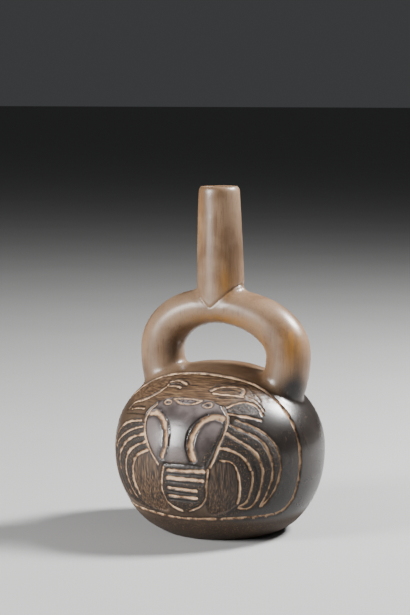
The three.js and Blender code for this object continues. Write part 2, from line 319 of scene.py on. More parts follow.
@dataclass
class Spout:
    """The tall spout on the stirrup's crown, tapering to a rounded lip."""

    top: float = 240.0
    root_radius: float = 17.0
    root_depth: float = 15.5
    lip_radius: float = 14.2
    taper_power: float = 1.8
    root_x: float = 1.2
    lip_x: float = -0.3
    lip_round: float = 2.6
    bore_root: float = 11.2
    bore_lip: float = 9.6
    bore_flare: float = 1.6
    sides: int = 48

    def ring(self, z: float, root: float, half_wide: float, half_deep: float) -> Ring:
        """One level section, on the slightly leaning centre line."""
        share = (z - root) / (self.top - root)
        return Ring((self.root_x + (self.lip_x - self.root_x) * share, 0.0, z), half_wide, half_deep)

    def size(self, share: float, root_size: float) -> float:
        """Half the spout's size at a share of its height."""
        return root_size + (self.lip_radius - root_size) * share**self.taper_power

    def build(self, root: float) -> bpy.types.Object:
        """Models the outer spout.

        Args:
            root: Height of its lower end.

        Returns:
            The closed spout.
        """
        rings = []
        straight_top = self.top - self.lip_round
        steps, lip_steps = 14, 5
        for step in range(steps + 1):
            z = root + (straight_top - root) * step / steps
            share = (z - root) / (self.top - root)
            wide, deep = self.size(share, self.root_radius), self.size(share, self.root_depth)
            rings.append(self.ring(z, root, wide, deep))
        for step in range(1, lip_steps + 1):
            turn = 0.5 * math.pi * step / lip_steps
            radius = self.lip_radius - self.lip_round * (1 - math.cos(turn))
            z = straight_top + self.lip_round * math.sin(turn)
            rings.append(self.ring(z, root, radius, radius))
        return loft("spout", rings, self.sides)

    def bore(self, root: float, low: float) -> bpy.types.Object:
        """Models the hole down the spout.

        Args:
            root: Height of the spout's lower end.
            low: Height of the hole's lower end.

        Returns:
            The closed cutter.
        """
        levels = [
            (low, self.bore_root),
            (self.top - 2 * self.lip_round, self.bore_lip),
            (self.top - 0.4 * self.lip_round, self.bore_lip + 0.6 * self.bore_flare),
            (self.top + self.lip_round, self.bore_lip + self.bore_flare),
        ]
        return loft("bore", [self.ring(z, root, r, r) for z, r in levels], self.sides)


@dataclass
class Hollow:
    """The empty space inside: the chamber and the channels in the stirrup."""

    body_wall: float = 6.0
    floor: float = 8.0
    crown_wall: float = 6.0
    tube_wall: float = 5.0
    sides: int = 32
    rings: int = 16

    def build(self, body: Body, stirrup: Stirrup) -> bpy.types.Object:
        """Models the space inside as one closed form.

        Args:
            body: The outer body it lies in.
            stirrup: The outer hoop its channels follow.

        Returns:
            The closed cutter.
        """
        sections = []
        high = body.height - self.crown_wall
        for step in range(self.rings + 1):
            share = 0.5 * (1 - math.cos(math.pi * step / self.rings))
            girth = float(body.girth(body.height * share)) - self.body_wall / body.half_wide
            girth = max(0.005, girth)
            z = self.floor + (high - self.floor) * share
            sections.append(Ring((0.0, 0.0, z), body.half_wide * girth, body.front * girth))
        space = loft("chamber", sections, self.sides)
        join_forms(space, stirrup.build(self.tube_wall, 20, 30), "UNION")
        return space


# ------------------------------------------------------------------ carving


def smooth_step(low: float, high: float, value: np.ndarray) -> np.ndarray:
    """Eases from 0 at low to 1 at high."""
    share = np.clip((value - low) / (high - low), 0, 1)
    return share * share * (3 - 2 * share)


def soft_noise(points: np.ndarray, size: float, seed: int) -> np.ndarray:
    """Smooth random values over space.

    Args:
        points: Rows of x, y and z.
        size: Distance over which the values change.
        seed: Picks the pattern.

    Returns:
        Values from -1 to 1.
    """
    scaled = points / size + 100.0
    cell = np.floor(scaled).astype(np.int64)
    part = scaled - cell
    part = part * part * (3 - 2 * part)
    total = np.zeros(len(points))
    for corner in range(8):
        offset = np.array([corner & 1, corner >> 1 & 1, corner >> 2 & 1])
        key = cell + offset
        mixed = key[:, 0] * 73856093 ^ key[:, 1] * 19349663 ^ key[:, 2] * 83492791 ^ seed * 2654435
        value = (mixed * 1103515245 + 12345 >> 8) % 4096 / 2047.5 - 1
        total += value * np.prod(np.where(offset == 1, part, 1 - part), axis=1)
    return total


def smooth_line(knots: Knots, closed: bool, spacing: float = 1.0) -> np.ndarray:
    """Runs a smooth line through a few knots.

    Args:
        knots: Front-view places, x and z.
        closed: Whether the line comes back to its first knot.
        spacing: Distance between the points made.

    Returns:
        Rows of x and z.
    """
    knots_array = np.array(knots, dtype=float)
    if closed:
        run = np.vstack([knots_array[-1], knots_array, knots_array[:2]])
    else:
        ends = 2 * knots_array[[0, -1]] - knots_array[[1, -2]]
        run = np.vstack([ends[0], knots_array, ends[1]])
    points = []
    for a, b, c, d in zip(run, run[1:], run[2:], run[3:]):
        steps = max(2, int(np.linalg.norm(c - b) / spacing))
        for t in np.arange(steps) / steps:
            points.append(
                0.5 * (2 * b + (c - a) * t + (2 * a - 5 * b + 4 * c - d) * t**2
                       + (3 * b - a - 3 * c + d) * t**3)
            )
    points.append(run[-2])
    return np.array(points)


def distance_to_line(points: np.ndarray, line: np.ndarray) -> np.ndarray:
    """Distance from each point to a line of short straight pieces.

    Args:
        points: Rows of x, y and z.
        line: Rows of x, y and z along the line.

    Returns:
        One distance for each point.
    """
    nearest = np.full(len(points), np.inf)
    for start, end in zip(line, line[1:]):
        along = end - start
        share = np.clip((points - start) @ along / max(1e-9, along @ along), 0, 1)
        gap = points - start - share[:, None] * along
        np.minimum(nearest, np.einsum("ij,ij->i", gap, gap), out=nearest)
    return np.sqrt(nearest)


def inside_outline(places: np.ndarray, outline: np.ndarray) -> np.ndarray:
    """Tells which front-view places lie within a closed outline.

    Args:
        places: Rows of x and z.
        outline: Rows of x and z, once round.

    Returns:
        True for each place within.
    """
    inside = np.zeros(len(places), dtype=bool)
    for (x0, z0), (x1, z1) in zip(outline, np.roll(outline, -1, axis=0)):
        if z0 == z1:
            continue
        crosses = (places[:, 1] > z0) != (places[:, 1] > z1)
        at = x0 + (places[:, 1] - z0) * (x1 - x0) / (z1 - z0)
        inside ^= crosses & (places[:, 0] < at)
    return inside


class Fill(Enum):
    """What fills a cut line: pale earth, or dark soot with painted shadow in some strokes; and the
    painted shade of the groove walls beside a pale one.
    """

    PALE = "pale"
    DARK = "dark"
    GROOVE_SHADE = "rim"


@dataclass(frozen=True)
class Stroke:
    """One cut line, drawn in the front view in millimetres."""

    knots: Knots
    width: float = 1.6
    depth: float = 0.8
    fill: Fill = Fill.PALE
    closed: bool = False


class Area(Enum):
    """A kind of ground within the carving."""

    PANEL = "panel"
    LEGS = "legs"
    FIELD = "field"
    ABDOMEN = "abdomen"
    SHIELD = "shield"
    LEAF = "leaf"
    CRESCENT = "crescent"
    EAR = "ear"


@dataclass(frozen=True)
class Zone:
    """One area of the carving, drawn in the front view in millimetres.

    Args:
        area: The mask it is kept under.
        outline: Knots of its closed outline.
        depth: How far it lies below the surface round the panel.
        edge: Width over which it steps down.
    """

    area: Area
    outline: Knots
    depth: float
    edge: float = 1.0


@dataclass
class Carving:
    """The figure on the front: a creature with a shield, leaves beside it and curling legs.

    A stripe of the abdomen is its left end, right end, height, the fall of its right end and its
    width. A ring eye is its place and half its size.
    """

    border_plane: float = 22.0
    border_top_plane: float = 28.2
    border_top: float = 113.4
    border_bend: float = 100.0
    border_foot: float = 18.2
    border_corner: float = 32.0
    panel_depth: float = 0.4
    middle: float = 0.5
    right_legs: tuple[Knots, ...] = (
        ((36, 87.4), (46, 83.2), (55.5, 76), (61, 67), (62.8, 56), (61, 44), (56.5, 34), (51, 27.4)),
        ((33, 84.6), (49.6, 76), (55.8, 68), (59, 57), (58.4, 46.5), (54.6, 35.6), (50.4, 27.6)),
        ((32, 79), (43.7, 71.8), (50.4, 65), (53.9, 55), (53.4, 45.7), (50.4, 34.8), (46.6, 28.2),
         (42.4, 26), (38.6, 27)),
        ((29, 69.6), (36, 68), (42, 64.2), (46.2, 58.8), (47.4, 54.4)),
        ((48.6, 52.6), (48.4, 45.6), (46.4, 37.6), (43.4, 31), (39, 28.2)),
        ((29.6, 61), (36.6, 59.8), (40.2, 53.6), (41.3, 45), (40.4, 36.6), (38.4, 30.6)),
    )
    left_legs: tuple[Knots, ...] = (
        ((-32.9, 82.9), (-43.3, 80.9), (-51.5, 77.3), (-58.6, 71), (-63.4, 62), (-64.8, 52),
         (-62.6, 42), (-58, 34)),
        ((-30.4, 79.6), (-40.6, 76.2), (-51.5, 70.2), (-58.8, 62.4), (-61.2, 52), (-59.4, 42),
         (-54.8, 33.4), (-48.6, 27.4)),
        ((-29.4, 74.5), (-40.6, 70.4), (-50, 63.3), (-55, 54.6), (-54.4, 45), (-51, 36), (-45.6, 29)),
        ((-26.4, 70.1), (-37.3, 64.9), (-44.4, 58.3), (-46.9, 50), (-45.8, 41), (-42.4, 33),
         (-38.4, 28)),
        ((-24, 64.6), (-33, 60.4), (-37.6, 54.4), (-39.2, 46), (-38.2, 37.6), (-35.4, 31)),
    )
    leg_widths: tuple[float, ...] = (1.6, 2.2, 2.5, 2.3, 2.1, 1.8)
    right_edge: Knots = ((25.2, 95.4), (30.6, 89), (31.2, 82), (29, 72.4), (26.6, 64), (23.4, 56))
    left_edge: Knots = (
        (-22.7, 94.6), (-28.6, 88), (-29.2, 81), (-26.8, 73), (-21.7, 64.5), (-14.6, 56),
    )
    abdomen_left: Knots = ((-10, 54.5), (-12.2, 43), (-11.8, 34.4), (-7.4, 27.8), (1, 23.8))
    abdomen_right: Knots = ((22, 54.5), (20.6, 43), (19.2, 34.4), (14, 28), (6, 24.2))
    stripes: tuple[tuple[float, ...], ...] = (
        (-6.8, 18.8, 53, 0.2, 3.2),
        (-6.8, 18, 47.6, -0.4, 3.2),
        (-6.6, 13, 40.6, -1.2, 2.6),
        (-7, 13, 34.6, -0.4, 2.3),
    )
    stripe_shadow: float = 2.6
    teeth: tuple[float, ...] = (-5.2, -2.0, 1.2, 4.4, 7.2)
    ring_eyes: tuple[tuple[float, ...], ...] = ((15.8, 96.2, 3.0, 1.5), (-13.8, 96.2, 2.8, 1.3))

    def border_knots(self, body: Body) -> Knots:
        """Knots of the line round the panel.

        Args:
            body: The form that is carved.

        Returns:
            Front-view places, once round.
        """
        half = []
        for step in range(21):
            fall = 0.5 * (1 - math.cos(math.pi * step / 20))
            z = self.border_top - (self.border_top - self.border_corner) * fall
            bend = max(0.0, (z - self.border_bend) / (self.border_top - self.border_bend)) ** 3
            plane = self.border_plane + (self.border_top_plane - self.border_plane) * bend
            girth = float(body.girth(z))
            along = min(1.0, plane / (body.front * girth))
            half.append((body.half_wide * girth * math.sqrt(1 - along * along), z))
        corner = half[-1][0]
        for inward, rise in ((3.2, 8.2), (7.6, 3.8), (14, 2.2), (34, 1.4)):
            half.append((corner - inward, self.border_foot + rise))
        half.append((0.0, self.border_foot))
        return tuple(half + [(-x, z) for x, z in reversed(half[1:-1])])

    def beside(self, side: int, knots: Knots) -> Knots:
        """Lays knots drawn for the right on one side of the shield's middle.

        Args:
            side: 1 for the right, -1 for the left.
            knots: Places measured from the middle.

        Returns:
            Front-view places.
        """
        return tuple((self.middle + side * x, z) for x, z in knots)

    def leaf_strokes(self, side: int, edge: Knots) -> list[Stroke]:
        """Cuts the leaf beside the shield.

        Args:
            side: 1 for the right, -1 for the left.
            edge: The line round the leaf's outer edge.

        Returns:
            The trough, a dark stroke of painted shadow along its steep inner wall, and the outer
            edge's line with a dark stroke of painted shadow beside it.
        """
        trough = ((26.8, 88.4), (21, 89.2), (14.4, 85.8), (10.2, 78), (9.4, 70), (11.4, 61.4))
        inner = ((17.4, 90.6), (12, 87.4), (7.4, 80.6), (6.3, 72), (7.4, 65.4), (9.6, 59.8))
        shadow = ((28.6, 87), (28.4, 80), (26.2, 72), (23.4, 64.6), (20.4, 58.4))
        return [
            Stroke(self.beside(side, trough), 4.4, 1.5),
            # Painted shadow: dark strokes darken the trough's steep inner wall and the ground beside
            # the outer edge.
            Stroke(self.beside(side, inner), 1.1, 0.6, Fill.DARK),
            Stroke(self.beside(side, shadow), 1.6, 0.3, Fill.DARK),
            Stroke(edge, 1.8, 0.9),
        ]

    def abdomen_strokes(self) -> list[Stroke]:
        """Cuts the abdomen.

        Returns:
            Its outline, its four stripes, each over a dark line of painted shadow, and the gap above
            them.
        """
        strokes = [
            Stroke(((-9, 57), (4, 57.4), (18, 56.6)), 2.6, 0.8, Fill.DARK),
            Stroke(self.abdomen_left, 1.7, 0.9),
            Stroke(self.abdomen_right, 1.5, 0.8),
        ]
        for start, end, z, fall, width in self.stripes:
            stripe = ((start, z), (0.5 * (start + end), z + 0.4 * fall), (end, z + fall))
            # Painted shadow: a dark line under each stripe.
            under = tuple((x, height - self.stripe_shadow) for x, height in stripe)
            strokes += [Stroke(stripe, width, 0.9), Stroke(under, 1.6, 0.5, Fill.DARK)]
        return strokes

    def mouth_strokes(self) -> list[Stroke]:
        """Cuts the mouth.

        Returns:
            The lips, the gaps between the teeth and the ring eyes beside the mouth.
        """
        strokes = [
            Stroke(((-9.8, 98.6), (-5, 96.6), (0.8, 96), (6, 96.6), (10.6, 98.6)), 1.6, 0.7),
            Stroke(((-9.8, 98.8), (0.4, 99.3), (10.6, 98.8)), 1.2, 0.5),
        ]
        for x in self.teeth:
            strokes.append(Stroke(((x, 98.6), (x - 0.6, 97)), 0.8, 0.5, Fill.DARK))
        turns = [math.radians(45 * step) for step in range(8)]
        for x, z, wide, high in self.ring_eyes:
            ring = tuple((x + wide * math.cos(t), z + high * math.sin(t)) for t in turns)
            strokes.append(Stroke(ring, 1.3, 0.7, closed=True))
            strokes.append(Stroke(((x - 0.6, z), (x + 0.6, z)), 1.2, 0.5, Fill.DARK))
        return strokes

    def brow_strokes(self) -> list[Stroke]:
        """Cuts the upper face.

        Returns:
            The big eyes, brows and ears above the shield, right ones first.
        """
        dark = Fill.DARK
        right = [
            Stroke(((19, 98), (25.2, 95.4), (28.4, 93), (29.6, 91)), 1.4, 0.5, dark),
            Stroke(((13.7, 104.8), (15.7, 106.1), (20, 106.9), (25.2, 106.9), (30, 106.3),
                    (32.5, 105.4), (34, 103.8), (33.6, 102.3)), 2.0, 0.9),
            Stroke(((14.9, 107.3), (17.6, 108.8), (20.6, 109.2), (25.2, 108.8), (30, 108),
                    (34.8, 106.2), (37.9, 103.8), (40, 101.5)), 1.4, 0.5, dark),
            Stroke(((20.4, 104.9), (25, 105.1), (29, 104.6), (31.4, 103.6)), 1.9, 0.6, dark),
            Stroke(((16, 103.2), (22, 102.6), (29, 102), (35, 101)), 1.6, 0.4),
            Stroke(((21, 100.6), (28, 100.4), (35, 100)), 1.4, 0.4, dark),
            Stroke(((38, 104), (42.5, 100.6), (45.6, 97.6)), 1.6, 0.4, dark),
            Stroke(((28.7, 95), (31, 96.6), (34.8, 97.7), (37, 98.1), (40.5, 97.3), (44.4, 95.4),
                    (47, 93.1), (49.6, 89.4)), 1.9, 0.8),
            Stroke(((38, 100.4), (41.5, 99), (46, 95.8), (49.4, 92)), 1.3, 0.5),
            Stroke(((29.8, 91.4), (34.8, 90.4), (40, 89.2), (44.4, 88.3), (50, 86.4)), 2.2, 0.6),
        ]
        left = [
            Stroke(((-23, 95), (-18, 97), (-12, 98.2)), 1.2, 0.4, dark),
            Stroke(((-20.6, 107.6), (-15, 108.9), (-10, 108.4), (-6.2, 107.4)), 2.0, 0.8),
            Stroke(((-20.5, 106.4), (-15, 107.2), (-9, 107)), 1.2, 0.5, dark),
            Stroke(((-20.5, 105.3), (-15, 105.8), (-9.6, 105.5)), 1.8, 0.6),
            Stroke(((-8.6, 109.2), (-5.4, 108.6), (-3.4, 107.4)), 1.4, 0.5, dark),
            Stroke(((-51.5, 87), (-46, 92), (-39, 94.5), (-30, 98.5), (-23, 103.5), (-21, 106)),
                   2.0, 0.9),
            Stroke(((-51.5, 84), (-44, 85.6), (-37, 86.4), (-31, 87)), 1.4, 0.5, dark),
            Stroke(((-48, 89), (-40, 91), (-33, 91.5)), 1.4, 0.5, dark),
            Stroke(((-47, 87.6), (-40, 89.4), (-33, 90.2)), 1.2, 0.3),
        ]
        return right + left

    def strokes(self, body: Body) -> list[Stroke]:
        """Every cut line of the carving.

        Args:
            body: The form that is carved.

        Returns:
            The lines, drawn in the front view.
        """
        lines = [Stroke(self.border_knots(body), 2.0, 1.0, closed=True)]
        # Painted highlight: the pale fill of the outermost right line stands for the highlight along
        # the step edge of the legs' ground.
        for legs in (self.right_legs, self.left_legs):
            for knots, width in zip(legs, self.leg_widths):
                lines.append(Stroke(knots, width, 0.9))
        # Painted shadow: a dark stroke in the gap among the right legs.
        lines.append(Stroke(((50.2, 57), (51.4, 50), (50.8, 42), (48.6, 35)), 2.2, 0.5, Fill.DARK))
        lines += self.leaf_strokes(1, self.right_edge) + self.leaf_strokes(-1, self.left_edge)
        return lines + self.abdomen_strokes() + self.mouth_strokes() + self.brow_strokes()

    def zones(self, body: Body) -> list[Zone]:
        """The areas of the carving.

        Args:
            body: The form that is carved.

        Returns:
            The areas, later ones over earlier ones.
        """
        top = ((18, 98.4), (8, 99.6), (-8, 99.6), (-17, 98))
        shield = self.right_edge[::-1] + top + self.left_edge + ((-9, 57.6), (4, 58.4), (16, 57.2))
        abdomen = self.abdomen_left + self.abdomen_right[::-1] + ((6, 56.6),)
        field_right = self.right_legs[5] + ((30, 24), (20, 23), (20.6, 40), (22.4, 54))
        field_left = self.left_legs[4] + ((-28, 24), (-10, 23), (-13.4, 40), (-14, 54))
        ear = ((30, 92.6), (33, 96.4), (38, 97.4), (43, 95.6), (47.4, 91), (40, 91))
        inner = ((11, 62), (9, 74), (12, 84), (19, 90.6))
        shaded = ((27.6, 88), (27, 80), (24, 72), (19.4, 65.6), (16.4, 59.6))
        zones = [
            Zone(Area.PANEL, self.border_knots(body), self.panel_depth, 1.6),
            Zone(Area.LEGS, self.right_legs[0] + ((20, 23), (24, 60)), 0.6, 1.4),
            Zone(Area.LEGS, self.left_legs[0] + ((-48, 26), (-12, 23), (-20, 60)), 0.6, 1.4),
            Zone(Area.FIELD, field_right, 1.1, 1.2),
            Zone(Area.FIELD, field_left, 1.0, 1.2),
            Zone(Area.ABDOMEN, abdomen, 0.3, 1.2),
            Zone(Area.SHIELD, shield, 0.0, 1.2),
            Zone(Area.EAR, ear, 0.7, 1.0),
        ]
        for side, edge in ((1, self.right_edge), (-1, self.left_edge)):
            zones.append(Zone(Area.LEAF, edge + self.beside(side, inner), 0.45, 1.2))
            zones.append(Zone(Area.CRESCENT, edge[1:] + self.beside(side, shaded[::-1]), 0.7, 2.4))
        return zones

    def measure(self, body: Body, points: np.ndarray) -> Masks:
        """Works out the carving at points on the front of the body.

        Args:
            body: The form that is carved.
            points: Rows of x, y and z, in millimetres.

        Returns:
            The depth below the surface, and a mask from 0 to 1 for each area and fill.
        """
        masks = {kind.value: np.zeros(len(points)) for kind in (*Area, *Fill)}
        base = np.zeros(len(points))
        for zone in self.zones(body):
            outline = smooth_line(zone.outline, True, 1.5)
            gap = distance_to_line(points, body.front_points(outline))
            gap = np.where(inside_outline(points[:, [0, 2]], outline), gap, -gap)
            share = smooth_step(-0.5 * zone.edge, 0.5 * zone.edge, gap)
            base = base * (1 - share) + zone.depth * share
            if zone.area is not Area.LEAF:
                for area in Area:
                    masks[area.value] *= 1 if area is Area.PANEL else 1 - share
            mask = masks[zone.area.value]
            np.maximum(mask, share, out=mask)
        masks["depth"] = base + self.cut(body, points, masks)
        return masks

    def cut(self, body: Body, points: np.ndarray, masks: Masks) -> np.ndarray:
        """Cuts the lines, uneven as a hand leaves them, keeps what fills them, and rings each pale
        line with painted shade.

        Args:
            body: The form that is carved.
            points: Rows of x, y and z, in millimetres.
            masks: The fills' masks are written here.

        Returns:
            The lines' depth at each point.
        """
        depth = np.zeros(len(points))
        wander = 0.3 * soft_noise(points, 5.0, SEED) + 0.16 * soft_noise(points, 1.8, SEED + 8)
        for stroke in self.strokes(body):
            line = body.front_points(smooth_line(stroke.knots, stroke.closed))
            reach = 1.6 * stroke.width
            near = np.all((points > line.min(0) - reach) & (points < line.max(0) + reach), axis=1)
            if not near.any():
                continue
            gap = distance_to_line(points[near], line) + 0.5 * stroke.width * wander[near]
            share = 1 - smooth_step(0.1 * stroke.width, 0.62 * stroke.width, gap)
            depth[near] = np.maximum(depth[near], stroke.depth * share)
            mask = masks[stroke.fill.value]
            mask[near] = np.maximum(mask[near], share)
            if stroke.fill is Fill.PALE:
                # Painted shade: a dark ring round each pale line stands for the shadowed walls of the
                # groove.
                ring = smooth_step(0.3, 0.6, gap / stroke.width)
                ring *= 1 - smooth_step(0.7, 1.5, gap / stroke.width)
                rim = masks[Fill.GROOVE_SHADE.value]
                rim[near] = np.maximum(rim[near], ring)
        masks[Fill.GROOVE_SHADE.value] *= 1 - masks[Fill.PALE.value]
        return depth


# ------------------------------------------------------------------ finish


@dataclass(frozen=True)
class Clay:
    """Burnished clay, worn and smoked, with pale earth left in the cut lines, and painted shade beside
    and in some of the lines, on the left arm's inner side and on the spout's right side.
    """

    warm: Color = (0.105, 0.058, 0.030, 1)
    buff: Color = (0.185, 0.118, 0.072, 1)
    ochre: Color = (0.27, 0.12, 0.018, 1)
    smoke_and_shade: Color = (0.010, 0.008, 0.007, 1)
    violet: Color = (0.125, 0.103, 0.099, 1)
    slate: Color = (0.034, 0.027, 0.026, 1)
    umber: Color = (0.066, 0.036, 0.018, 1)
    tan: Color = (0.20, 0.12, 0.062, 1)
    rust: Color = (0.15, 0.078, 0.038, 1)
    earth: Color = (0.45, 0.30, 0.18, 1)
    soot_and_shade: Color = (0.007, 0.005, 0.004, 1)
    sheen: float = 0.4

    def build(self) -> bpy.types.Material:
        """Makes the material.

        Returns:
            The material, driven by the piece's own masks.
        """
        material = bpy.data.materials.new("burnished_clay")
        material.use_nodes = True
        graph = Graph(material)
        grain = Grain(graph)
        color = self.worn_skin(graph, grain)
        color = self.carved_grounds(graph, grain, color)
        graph.link(self.cut_lines(graph, grain, color), "Base Color")
        dull = graph.add(graph.attribute("matt"), graph.minus(grain.blotch, 0.5), 0.3)
        graph.link(graph.ranged(dull, 0.27, 0.85), "Roughness")
        graph.shader.inputs["Specular IOR Level"].default_value = self.sheen
        height = graph.times(grain.speck, graph.add(0.15, graph.attribute("ground"), 0.85))
        height = graph.add(height, grain.fine, 0.12)
        height = graph.add(height, graph.times(grain.rub, graph.attribute("field")), 0.9)
        height = graph.add(height, graph.times(grain.comb, graph.attribute("brow")), 0.5)
        graph.bump(height, 0.5, 0.4 * MM)
        return material

    def worn_skin(self, graph: "Graph", grain: "Grain") -> bpy.types.NodeSocket:
        """Colours the burnished skin, with its streaks, ochre patches and smoke, which carries two
        patches of painted shade.

        Args:
            graph: The material's nodes.
            grain: The patterns it draws on.

        Returns:
            The colour.
        """
        rub, streak = grain.rub, grain.streak
        smoke_and_shade = graph.attribute("smoke_and_shade")
        color = graph.mix(graph.ramp(grain.blotch, 0.35, 0.65), self.warm, self.buff)
        color = graph.mix(graph.times(graph.ramp(streak, 0.45, 0.75), 0.35), color, self.buff)
        color = graph.mix(graph.times(graph.ramp(rub, 0.52, 0.7), 0.35), color, self.tan)
        color = graph.mix(graph.times(graph.ramp(rub, 0.44, 0.32), 0.45), color, self.umber)
        ochre = graph.times(graph.attribute("ochre"), graph.ramp(streak, 0.25, 0.6))
        color = graph.mix(ochre, color, self.ochre)
        darkened = graph.add(smoke_and_shade, graph.minus(grain.speck, 0.5), 0.3)
        color = graph.mix(darkened, color, self.smoke_and_shade)
        scuff = graph.times(graph.ramp(rub, 0.6, 0.72), smoke_and_shade)
        return graph.mix(graph.times(scuff, 0.22), color, self.buff)

    def carved_grounds(
        self, graph: "Graph", grain: "Grain", color: bpy.types.NodeSocket
    ) -> bpy.types.NodeSocket:
        """Lays the combed brow, the pitted ground, the raked fields and the cool shield over a colour.

        Args:
            graph: The material's nodes.
            grain: The patterns they draw on.
            color: The colour round them.

        Returns:
            The colour with the grounds.
        """
        speck, rub, comb = grain.speck, grain.rub, grain.comb
        brow = graph.mix(graph.ramp(comb, 0.26, 0.46), self.soot_and_shade, self.umber)
        brow = graph.mix(graph.times(graph.ramp(comb, 0.46, 0.68), 0.6), brow, self.tan)
        color = graph.mix(graph.attribute("brow"), color, brow)
        pitted = graph.mix(graph.ramp(speck, 0.5, 0.64), self.soot_and_shade, self.umber)
        pitted = graph.mix(graph.times(graph.ramp(speck, 0.6, 0.72), 0.7), pitted, self.tan)
        color = graph.mix(graph.attribute("ground"), color, pitted)
        raked = graph.mix(graph.ramp(rub, 0.38, 0.56), self.soot_and_shade, self.umber)
        raked = graph.mix(graph.times(graph.ramp(rub, 0.54, 0.7), 0.65), raked, self.tan)
        raked = graph.mix(graph.times(graph.attribute("smoke_and_shade"), 0.7), raked, self.soot_and_shade)
        color = graph.mix(graph.attribute("field"), color, raked)
        cool = graph.mix(graph.ramp(grain.blotch, 0.4, 0.62), self.violet, self.slate)
        return graph.mix(graph.times(graph.attribute("shield"), 0.9), color, cool)

    def cut_lines(
        self, graph: "Graph", grain: "Grain", color: bpy.types.NodeSocket
    ) -> bpy.types.NodeSocket:
        """Darkens the cut lines with soot and painted shadow, rings the pale ones with painted shade,
        and fills those with worn pale earth.

        Args:
            graph: The material's nodes.
            grain: The patterns they draw on.
            color: The colour round them.

        Returns:
            The colour with the lines.
        """
        # Painted shade: the rim mask darkens the groove walls beside each pale line; the dark mask
        # paints soot and, in some strokes, shadow.
        color = graph.mix(graph.times(graph.attribute("rim"), 0.7), color, self.soot_and_shade)
        color = graph.mix(graph.times(graph.attribute("dark"), 0.85), color, self.soot_and_shade)
        filled = graph.attribute("pale")
        pale = graph.add(filled, graph.minus(grain.speck, 0.5), 0.8)
        pale = graph.add(pale, graph.minus(grain.wear, 0.55), 2.0)
        pale = graph.times(pale, graph.ramp(filled, 0.0, 0.25))
        color = graph.mix(graph.ramp(pale, 0.12, 0.45), color, self.rust)
        return graph.mix(graph.times(graph.ramp(pale, 0.4, 0.9), 0.95), color, self.earth)


class Grain:
    """The noise patterns of the clay's finish."""

    def __init__(self, graph: "Graph") -> None:
        """Makes the patterns on the piece's own place.

        Args:
            graph: The material's nodes.
        """
        place = graph.object_place()
        self.blotch = graph.noise(place, 38.0, 4.0)
        self.wear = graph.noise(place, 210.0, 3.0)
        self.speck = graph.noise(place, 1150.0, 6.0)
        self.fine = graph.noise(place, 2600.0, 2.0)
        self.streak = graph.noise(graph.stretch(place, (330.0, 330.0, 26.0)), 1.0, 3.0)
        self.rub = graph.noise(graph.stretch(place, (1300.0, 1300.0, 75.0)), 1.0, 3.0)
        self.comb = graph.noise(graph.stretch(place, (110.0, 300.0, 1300.0)), 1.0, 3.0)


